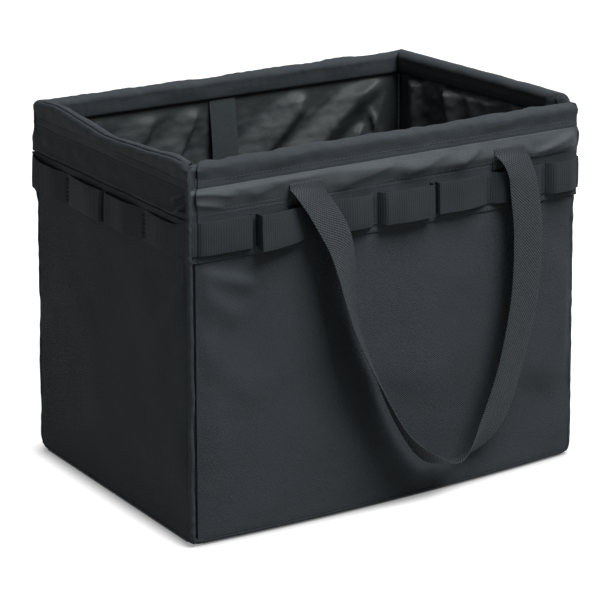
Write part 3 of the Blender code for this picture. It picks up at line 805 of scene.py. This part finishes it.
profile = rim_profile()
run = run_along(profile)
ahead = np.gradient(profile, axis=0)
normal = np.stack([ahead[:, 1], -ahead[:, 0]], -1) / np.linalg.norm(ahead, axis=1)[:, None]
rim_look = woven("rim_cloth", (0.027, 0.032, 0.036), 0.60, 0.05, 0.0002)
rod_look = Look("rod_plastic", (0.012, 0.013, 0.014), 0.45, 0.5)
rod_look.tint(rod_look.noise(0.01, 2.0), 0.85, 1.15)
rod_look.bump(rod_look.noise(0.001, 2.0), 0.00005)
for number, side in enumerate(SIDES):
    half = half_length(side)
    unit = np.linspace(-1, 1, len(steps(-half, half, 0.0015)))
    u, v = np.meshgrid(unit * half, run, indexing="ij")
    height = np.broadcast_to(profile[:, 1], u.shape)
    roll = smooth((height - 0.284) / 0.006)
    wave = 0.00060 * ripple(u, v, 0.050, 81 + number)
    wave += 0.00028 * ripple(u, v, 0.014, 85 + number)
    wave = wave * (0.25 + roll) * (0.4 if side == "right" else 1)
    wave += folds(u, height, RIM_CREASES.get(side, []))
    wave -= corner_tuck(side, u, 0.0016)
    if side == "left":  # a crease along the foot of the roll
        crease = 0.0009 * np.exp(-(((v - 0.0190) / 0.0007) ** 2))
        wave -= crease * smooth((half - 0.004 - np.abs(u)) / 0.01)
    out = profile[:, 0] + wave * normal[:, 0]
    up = profile[:, 1] + wave * normal[:, 1]
    lift = eased(RIM_LIFT[side], unit * half)[:, None] * smooth(run / 0.012)
    if side == "right":
        open_end = 0.35 + 0.65 * smooth((u + 0.1135) / 0.0030)
        past_rod = np.where(out < RIM_CENTRE[0], 1.25, 1)
        out = FLANGE_OUT + (out - FLANGE_OUT) * open_end * past_rod
    out_in = out - normal[:, 0] * CLOTH
    up_in = up - normal[:, 1] * CLOTH + lift
    face = on_wall(side, unit[:, None] * (half + out - GAP), out, up + lift)
    inner = on_wall(side, unit[:, None] * (half + out_in - GAP), out_in, up_in)
    rim = loft(f"rim_{side}_roll", np.concatenate([face, inner[:, ::-1]], axis=1))
    finish_piece(rim, rim_look, "cloth", f"rim_{side}")
    level = np.full_like(unit, profile[RIM_STITCHED, 1])
    line = np.stack([unit * (half - 0.004), out[:, RIM_STITCHED] + 0.0001, level], -1)
    stitches(f"stitches_rim_{side}", side, thread_look, line)

    reach = np.linspace(-(half - ROD_SHORT), half - ROD_SHORT, 60)
    turn = np.linspace(0, 2 * math.pi, 16, endpoint=False)
    u, a = np.meshgrid(reach, turn, indexing="ij")
    rod_up = RIM_CENTRE[1] + ROD_RADIUS * np.sin(a) + eased(RIM_LIFT[side], reach)[:, None]
    rod = loft(f"rod_{side}", on_wall(side, u, RIM_CENTRE[0] + ROD_RADIUS * np.cos(a), rod_up))
    finish_piece(rod, rod_look.material, "board", f"rim_rod_{side}")

# Handles: 30 mm webbing in a coarse weave, sewn to the collar at both ends and folded over there.
# It hangs down the wall and turns on its edge at the bottom of its loop.
HANDLE_WIDTH, HANDLE_WEBBING = 0.030, 0.0016
HANDLE_LOW, HANDLE_TOP = 0.0330, 0.2728  # heights of the loop's lowest point and of its folds
HANDLE_ENDS = (-0.080, 0.110)  # places of its two ends along the wall
HANDLE_FOLD = 0.0012  # radius of the fold at an end
LOOP_OUT = BELT_OUT + 0.0064  # outer face of the belt's loops
# Along the wall, share of the fall, out past the belt's loops, and turn out of the wall in degrees
ROUTE = [
    (-0.0780, 0.034, -0.0004, 12),
    (-0.0722, 0.075, 0.0022, 19),
    (-0.0642, 0.136, 0.0048, 20),
    (-0.0576, 0.197, 0.0060, 22),
    (-0.0535, 0.284, 0.0083, 30),
    (-0.0500, 0.387, 0.0090, 42),
    (-0.0453, 0.480, 0.0085, 53),
    (-0.0298, 0.646, 0.0085, 64),
    (-0.0031, 0.871, 0.0105, 78),
    (0.0345, 1.000, 0.0110, 90),
    (0.0768, 0.912, 0.0090, 20),
    (0.1005, 0.737, 0.0070, 11),
    (0.1168, 0.504, 0.0055, 6),
    (0.1213, 0.283, 0.0045, 4),
    (0.1187, 0.130, 0.0028, 7),
    (0.1167, 0.075, 0.0016, 12),
    (0.1130, 0.034, -0.0004, 10),
]


def curve(points, between):
    """A smooth curve through points, with so many steps between one and the next."""
    points = np.array(points, float)
    padded = np.concatenate([[2 * points[0] - points[1]], points, [2 * points[-1] - points[-2]]])
    found = []
    for a, b, c, d in zip(padded, padded[1:], padded[2:], padded[3:]):
        for t in np.arange(between) / between:
            spot = b + (c - a) * t / 2 + (2 * a - 5 * b + 4 * c - d) * t**2 / 2
            found.append(spot + (3 * b - a - 3 * c + d) * t**3 / 2)
    return np.array([*found, points[-1]])


def handle_line():
    """Middle points of the webbing, and the direction across it, in wall coordinates."""
    sewn = BELT_IN + HANDLE_WEBBING / 2
    tail = BELT_LOW + BELT_WIDTH + 0.0015

    def end(along):
        """From the lower end of the sewn tail, up the wall and over the fold."""
        spots = [(along, sewn, up) for up in np.linspace(tail, HANDLE_TOP - 0.002, 5)]
        for a in np.linspace(math.pi, 0, 9):
            out = sewn + HANDLE_FOLD * (1 + math.cos(a))
            spots.append((along, out, HANDLE_TOP + HANDLE_FOLD * math.sin(a)))
        return [(spot, (-1, 0, 0)) for spot in spots]

    fall = HANDLE_TOP - HANDLE_LOW
    ease = HANDLE_TOP - 0.003, sewn + 2 * HANDLE_FOLD + HANDLE_WEBBING / 2
    loose = [(along, HANDLE_TOP - share * fall, LOOP_OUT + past, turn)
             for along, share, past, turn in ROUTE]
    route = curve([(HANDLE_ENDS[0], *ease, 0), *loose, (HANDLE_ENDS[1], *ease, 0)], 14)
    hanging = []
    for (along, up, out, turn), (da, dz, _, _) in zip(route, np.gradient(route, axis=0)):
        turn = math.radians(turn)
        slant = math.atan2(da, abs(dz)) * float(smooth((HANDLE_TOP - up) / 0.045))
        rising = dz / math.hypot(dz, 0.15 * da)
        tipped = 0.32 * float(smooth(1 - (up - HANDLE_LOW) / 0.05))
        upwards = rising * math.sin(slant) * math.cos(turn) + tipped
        across = Vector((-math.cos(slant) * math.cos(turn), math.sin(turn), upwards))
        hanging.append(((along, out, up), tuple(across.normalized())))
    return [*end(HANDLE_ENDS[0]), *hanging, *reversed(end(HANDLE_ENDS[1]))]


def ribbon_rings(side, line, width, thickness):
    """Rings for flat webbing with rounded edges along a line."""
    spots = np.array([spot for spot, _ in line])
    across = np.array([way for _, way in line])
    face = np.cross(across, np.gradient(spots, axis=0))
    face /= np.linalg.norm(face, axis=1)[:, None]
    w = np.linspace(-0.5, 0.5, 11)
    thick = thickness / 2 * np.sqrt(np.maximum(0.10, 1 - (2 * np.abs(w)) ** 8))
    middle = spots[:, None] + across[:, None] * (w * width)[None, :, None]
    depth = face[:, None] * thick[None, :, None]
    ring = np.concatenate([middle + depth, (middle - depth)[:, ::-1]], axis=1)
    return on_wall(side, ring[..., 0], ring[..., 1], ring[..., 2])


def handle_look():
    """A coarse weave: threads lie in short slanting steps, row by row."""
    look = Look("handle_webbing", (0.031, 0.036, 0.040), 0.60, 0.08)
    crossing = look.math("MULTIPLY", look.threads(385, 0), look.threads(0, 400))
    checks = look.math("TANH", look.math("MULTIPLY", crossing, 2.0))
    speck = look.noise(0.0012, 1.5)
    shade = look.math("MULTIPLY_ADD", checks, 0.34, look.math("MULTIPLY_ADD", speck, 0.7, 0.15))
    look.tint(shade, 0.32, 1.50)
    look.bump(look.math("MULTIPLY_ADD", speck, 0.4, checks), 0.00030)
    return look.material


handle_webbing = handle_look()
for side in LONG_WALLS:
    webbing = ribbon_rings(side, handle_line(), HANDLE_WIDTH, HANDLE_WEBBING)
    handle = loft(f"handle_{side}_webbing", webbing)
    finish_piece(handle, handle_webbing, "webbing", f"handle_{side}")

# Lining: thin satin-like cloth that is cut too wide, so that it hangs in loose folds on the walls.
# It is sewn in under the rims and along the bottom, and pressed flat by the strap that hangs on it.
LINING = 0.0008  # thickness
LINING_OUT = -0.0040  # how far out its face lies where it is flat
LINING_FLOOR = 0.0024  # height of its lower edge
DEEPEST = 0.020  # no fold stands further in
STRAP_LENGTH = 0.105  # of the closing strap that hangs over it
STRAP_BOW = 0.0080  # how far the strap bows inwards
STRAP_TURN = math.radians(135)  # of the sine that it follows
# Loose swathes: where the crest of each starts and ends, over what width it rises at its left and
# falls off at its right, its height, and how much narrower it starts
LINING_SWATHES = {
    "back": [
        ((-0.160, 0.2850), (-0.046, 0.1930), 0.024, 0.0240, 0.0135, 0.30),
        ((-0.078, 0.2700), (-0.004, 0.2010), 0.030, 0.0170, 0.0120, 0.30),
        ((0.036, 0.2720), (0.072, 0.2150), 0.022, 0.0130, 0.0070, 0.30),
        ((0.080, 0.2720), (0.125, 0.2150), 0.026, 0.0180, 0.0060, 0.30),
    ],
}
LINING_CREASES = {
    "back": [
        ((-0.103, 0.282), (-0.076, 0.262), 0.0070, 0.0060, -0.0035),
        ((-0.163, 0.262), (-0.150, 0.225), 0.0030, 0.0030, 0.0050),
        ((-0.150, 0.250), (-0.164, 0.215), 0.0045, 0.0025, 0.0050),
        ((-0.138, 0.236), (-0.128, 0.205), 0.0060, 0.0030, 0.0060),
        ((-0.1670, 0.276), (-0.1670, 0.150), 0.0022, 0.0022, 0.0028),
        ((-0.1725, 0.276), (-0.1720, 0.150), 0.0016, 0.0016, 0.0022),
        ((0.150, 0.196), (0.014, 0.196), 0.012, 0.030, 0.0080),
    ],
    "right": [
        ((0.0960, 0.3000), (0.0940, 0.1500), 0.0100, 0.0130, 0.0120),
        ((0.0480, 0.3000), (0.0240, 0.2200), 0.0070, 0.0180, 0.0120),
        ((0.0140, 0.3000), (-0.0100, 0.2300), 0.0080, 0.0120, 0.0070),
        ((-0.0180, 0.3000), (-0.0240, 0.2000), 0.0100, 0.0080, 0.0060),
        ((-0.0620, 0.3000), (-0.0720, 0.2000), 0.0120, 0.0100, 0.0060),
    ],
}


def swathes(u, v, rows):
    """Loose cloth that rises evenly from the left up to a line, and falls off at its right."""
    total = np.zeros(np.broadcast(u, v).shape)
    for (u0, v0), (u1, v1), rise, fall, height, pinch in rows:
        du, dv = u1 - u0, v1 - v0
        length = math.hypot(du, dv)
        t = ((u - u0) * du + (v - v0) * dv) / length**2
        off = ((v - v0) * du - (u - u0) * dv) / length
        flare = 1 - pinch * (1 - np.clip(t, 0, 1))
        even = np.clip(1 - off / (rise * flare), 0, 1)
        climb = 0.65 * even + 0.35 * smooth(even)
        shape = np.where(off > 0, climb, 1 - smooth(-off / (fall * flare)))
        fade = smooth(t / 0.2 + 0.5) * smooth((1 - t) / 0.3 + 0.5)
        total = np.maximum(total, height * flare * fade * shape)
    return total


lining_look = Look("lining_satin", (0.030, 0.035, 0.037), 0.44, 0.30)
grain = lining_look.threads(1400, 0)
cloudy = lining_look.noise(0.02, 3.0)
lining_look.tint(lining_look.math("MULTIPLY_ADD", grain, 0.12, cloudy), 0.75, 1.25)
lining_look.dull(lining_look.noise(0.012, 2.0), 0.36, 0.50)
speck = lining_look.noise(0.004, 2.0)
lining_look.bump(lining_look.math("MULTIPLY_ADD", grain, 0.3, speck), 0.0003)
lining_satin = lining_look.material
for number, side in enumerate(SIDES):
    half = half_length(side)
    long_wall = side in LONG_WALLS
    # Over what length the folds fade out at the sides and the top, and the waves' slant and length
    long_waves, short_waves = (0.030, 0.012, 52, 0.062), (0.012, 0.006, 8, 0.048)
    side_fade, top_fade, slant, pitch = long_waves if long_wall else short_waves
    unit = np.linspace(-1, 1, len(steps(-half, half, 0.0019)))
    up = np.concatenate([steps(LINING_FLOOR, 0.170, 0.005), steps(0.170, PANEL_TOP, 0.0019)[1:]])
    u, v = np.meshgrid(unit * half, up, indexing="ij")
    loose = smooth((half - 0.006 - np.abs(u)) / side_fade)
    top = RIM_LOW + eased(RIM_LIFT[side], unit * half)[:, None]
    loose *= smooth((top - 0.0005 - v) / top_fade) * smooth((v - 0.006) / 0.03)
    slant = math.radians(slant)
    run = u * math.cos(slant) - v * math.sin(slant)
    uneven = 0.8 * ripple(u, v, 0.15, 90 + number)
    waves = 0.5 + 0.5 * np.sin(2 * math.pi * run / pitch + uneven)
    inward = 0.0042 * waves
    if side in LINING_CREASES:
        inward *= smooth((0.200 - v) / 0.05)
    inward = np.maximum(inward, swathes(u, v, LINING_SWATHES.get(side, [])))
    inward += folds(u, v, LINING_CREASES.get(side, []))
    inward += 0.0008 * ripple(u, v, 0.028, 95 + number)
    inward += 0.0005 * ripple(u, v, 0.012, 99 + number)
    inward = np.clip(inward + 0.0006, 0, DEEPEST)
    if long_wall:  # the strap leaves this much room behind it
        hung = np.clip((RIM_LOW - v) / STRAP_LENGTH, 0, 1)
        room = np.where(hung < 1, STRAP_BOW * np.sin(STRAP_TURN * hung), 0.018)
        behind = smooth((0.024 - np.abs(u - 0.011)) / 0.006)
        inward = inward + (np.minimum(inward, room) - inward) * behind
    out = LINING_OUT - inward * loose
    face = on_wall(side, unit[:, None] * (half + out - GAP), out, v)
    inner = on_wall(side, unit[:, None] * (half + out - LINING - GAP), out - LINING, v)
    sheet = loft(f"lining_{side}_cloth", np.concatenate([face, inner[:, ::-1]], axis=1))
    finish_piece(sheet, lining_satin, "lining", f"lining_{side}")

# Binding: a thin strip of the same satin-like cloth, folded and sewn over the lining's seam in each
# corner, from the bottom up to the rims.
BINDING_RADIUS = 0.0016
BINDING_IN = 0.0067  # from the outside of the walls to the middle of the strip
for back, right, corner in CORNERS:
    up = steps(0.0026, 0.2805, 0.003)
    turn = np.linspace(0, 2 * math.pi, 14, endpoint=False)
    z, a = np.meshgrid(up, turn, indexing="ij")
    r = BINDING_RADIUS * (1 + 0.12 * ripple(z, a * 0.002, 0.02, 121 + back + 2 * right))
    x = right * (WIDTH / 2 - BINDING_IN) + r * np.cos(a)
    y = back * (DEPTH / 2 - BINDING_IN) + r * np.sin(a)
    strip = loft(f"binding_{corner}_strip", settle(np.stack([x, y, z], -1)))
    finish_piece(strip, lining_satin, "lining", f"binding_{corner}")

# Closing straps: 25 mm webbing that hangs from the rim inside the front and back walls, with hook
# tape sewn on the back one and loop tape on the front one. They are fastened over a full box.
STRAP_WIDTH = 0.025
STRAP_PLACE = 0.008  # of its middle, along the wall
TAPE_START, TAPE_LENGTH = 0.056, 0.045  # down the strap
TAPE_WIDTH, TAPE = 0.022, 0.0014
TAPE_OUT = -0.0016  # from the middle of the strap to the middle of the tape
strap_webbing = Look("strap_webbing", (0.026, 0.031, 0.033), 0.70, 0.05)
strap_webbing.tint(strap_webbing.noise(0.0015, 2.0), 0.7, 1.3)
strap_webbing.bump(strap_webbing.noise(0.0012, 1.5), 0.00008)
strap_look = strap_webbing.material


def hang(start, length, count, offset):
    """Points down the hanging strap, and the direction across it, in wall coordinates."""
    near = LINING_OUT - LINING - GAP - WEBBING / 2
    down = np.linspace(start, start + length, count)
    out = near - STRAP_BOW * np.sin(STRAP_TURN * down / STRAP_LENGTH) + offset
    return [((STRAP_PLACE, o, RIM_LOW - GAP - d), (1, 0, 0)) for o, d in zip(out, down)]


for side, tape_name in (("back", "hook_tape"), ("front", "loop_tape")):
    line = hang(0, STRAP_LENGTH, 60, 0)
    strap = loft(f"strap_{side}_webbing", ribbon_rings(side, line, STRAP_WIDTH, WEBBING))
    finish_piece(strap, strap_look, "webbing", f"closing_strap_{side}")
    line = hang(TAPE_START, TAPE_LENGTH, 30, TAPE_OUT)
    tape = loft(f"{tape_name}_pile", ribbon_rings(side, line, TAPE_WIDTH, TAPE))
    finish_piece(tape, strap_look, "tape", tape_name)

# Bottom lining and base board: the lining's bottom panel, and on it a loose stiff board that is
# covered with the same satin-like cloth and holds the walls apart.
for name in ("lining_bottom", "base_board"):
    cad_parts[name].data.materials.clear()
    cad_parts[name].data.materials.append(lining_satin)

# Boards: flat sheets of stiff plastic, one in each long wall and two in each end wall, which folds
# in at its middle. They are slid in between the cloth and the lining, and none shows.
board_look = Look("board_plastic", (0.060, 0.063, 0.066), 0.55, 0.5)
board_look.tint(board_look.noise(0.01, 3.0), 0.85, 1.15)
board_look.bump(board_look.noise(0.0012, 2.0), 0.0001)
for name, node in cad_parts.items():
    if name.startswith("board_"):
        node.data.materials.clear()
        node.data.materials.append(board_look.material)
